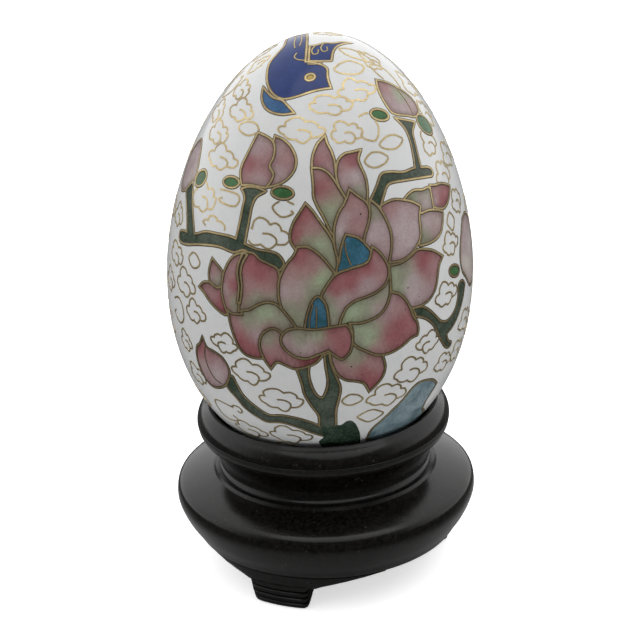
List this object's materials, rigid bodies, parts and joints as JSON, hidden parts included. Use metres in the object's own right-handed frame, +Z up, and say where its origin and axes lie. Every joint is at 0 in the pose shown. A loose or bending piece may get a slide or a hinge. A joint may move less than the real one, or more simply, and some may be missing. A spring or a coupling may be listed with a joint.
{
  "type": "decorated egg on stand",
  "caption": "Cloisonne enamel egg with blossom, bird and cloud scrolls on white, resting loose in the ring seat of a black turned stand with carved bracket feet.",
  "frame": {"origin": "on the floor under the stand's axis, at the bottom centre of the bounding box", "axes": "+Z up, the decorated front faces -Y, +X to the viewer's right"},
  "size_m": [0.0506, 0.0504, 0.0914],
  "materials": {
    "black_lacquer": "black lacquered turned wood, glossy, worn soft on the edges",
    "copper": "bare spun copper, dull",
    "gilt_wire": "gilt flat wire, ground flush and polished",
    "enamel_white": "fired glass enamel, polished, fine pinholes",
    "enamel_pink": "fired glass enamel, deep pink shading to pale green",
    "enamel_pale": "fired glass enamel, pale green and greyish pink",
    "enamel_dark_green": "fired glass enamel, blackish green, speckled",
    "enamel_leaf_green": "fired glass enamel, bright green",
    "enamel_moss": "fired glass enamel, dark moss green",
    "enamel_cobalt": "fired glass enamel, cobalt blue",
    "enamel_tail_blue": "fired glass enamel, mid blue",
    "enamel_turquoise": "fired glass enamel, turquoise blue",
    "enamel_rock_blue": "fired glass enamel, pale blue with darker streaks",
    "enamel_yellow": "fired glass enamel, opaque yellow"
  },
  "bodies": {
    "stand": {"seat_ring": "black_lacquer", "base_block": "black_lacquer", "foot_front": "black_lacquer", "foot_right": "black_lacquer", "foot_left": "black_lacquer"},
    "egg": {"copper_shell_upper": "copper", "copper_shell_lower": "copper", "petal_01_front_roll": "enamel_pink", "wire_petal_01_front_roll": "gilt_wire", "petal_02_front_curl": "enamel_pink", "wire_petal_02_front_curl": "gilt_wire", "stamen_front": "enamel_turquoise", "petal_03_right_roll": "enamel_pink", "wire_petal_03_right_roll": "gilt_wire", "petal_04_centre": "enamel_pale", "petal_05_left_lower": "enamel_pink", "stamen_back": "enamel_turquoise", "petal_06_right_green": "enamel_pale", "petal_07_upper_centre": "enamel_pink", "petal_08_left_centre": "enamel_pale", "petal_09_left_pink": "enamel_pink", "petal_10_left_spire": "enamel_pink", "petal_11_lower_right": "enamel_pink", "petal_12_bottom": "enamel_pink", "petal_13_upper_right": "enamel_pink", "petal_14_spire": "enamel_pale", "petal_15_spire_tip": "enamel_pink", "petal_16_spire_right": "enamel_pink", "petal_17_right_large": "enamel_pink", "petal_18_right": "enamel_pink", "petal_19_far_right": "enamel_pale", "petal_20_far_tip": "enamel_pink", "bud_left_outer": "enamel_pink", "wire_bud_left_outer": "gilt_wire", "bud_left_inner": "enamel_pink", "bud_far_left": "enamel_pink", "leaf_left_a": "enamel_leaf_green", "wire_leaf_left_a": "gilt_wire", "leaf_left_b": "enamel_leaf_green", "branch_left": "enamel_dark_green", "bud_upper_right": "enamel_pink", "leaf_upper_right": "enamel_leaf_green", "branch_upper_right": "enamel_dark_green", "bud_right": "enamel_pink", "leaf_right": "enamel_leaf_green", "branch_right": "enamel_dark_green", "bud_lower_left": "enamel_pink", "wire_bud_lower_left": "gilt_wire", "branch_lower_left": "enamel_dark_green", "trunk_fork": "enamel_dark_green", "moss_mound": "enamel_moss", "rock_slope": "enamel_rock_blue", "bird_eye": "enamel_yellow", "bird_body": "enamel_cobalt", "wire_bird_body": "gilt_wire", "bird_wing": "enamel_cobalt", "bird_tail": "enamel_tail_blue", "enamel_ground": "enamel_white", "enamel_fork_window": "enamel_white"}
  },
  "joints": [
    {"name": "egg_lift", "type": "slide", "parent": "stand", "child": "egg", "axis": [0, 0, 1], "range_m": [0, 0.04]}
  ]
}
